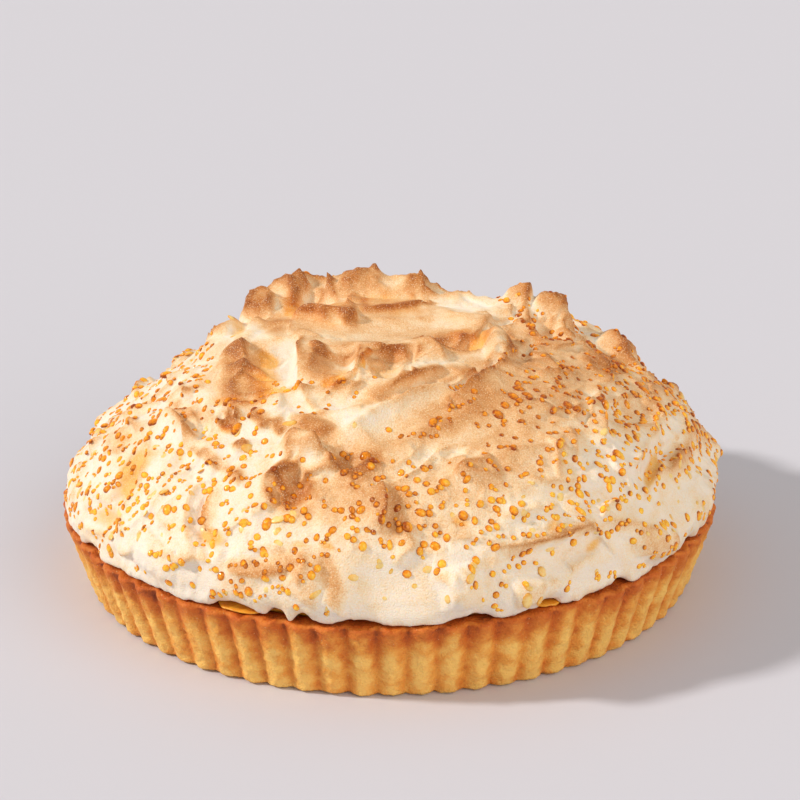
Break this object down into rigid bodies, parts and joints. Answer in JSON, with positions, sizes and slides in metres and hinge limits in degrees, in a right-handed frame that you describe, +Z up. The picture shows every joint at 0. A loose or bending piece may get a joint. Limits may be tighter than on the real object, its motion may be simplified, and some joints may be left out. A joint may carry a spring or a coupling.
{
  "type": "lemon meringue pie",
  "caption": "Large round fluted shortcrust tart with a lemon filling under a tall domed meringue, toasted on its folds and dotted with beads of caramelised syrup.",
  "frame": {"origin": "middle of the crust's underside, on the surface it rests on", "axes": "+Z up, -Y towards the side that shows the long sweeping folds, +X to the right seen from that side"},
  "size_m": [0.2824, 0.2814, 0.1114],
  "materials": {
    "crust": "baked shortcrust pastry, dry and matte, browner along the rim",
    "lemon_filling": "set lemon curd, smooth and moist",
    "meringue": "toasted meringue foam, matte, cream to caramel, with glossy amber syrup beads"
  },
  "bodies": {
    "root": {"crust": "crust", "lemon_filling": "lemon_filling", "meringue": "meringue"}
  },
  "joints": []
}
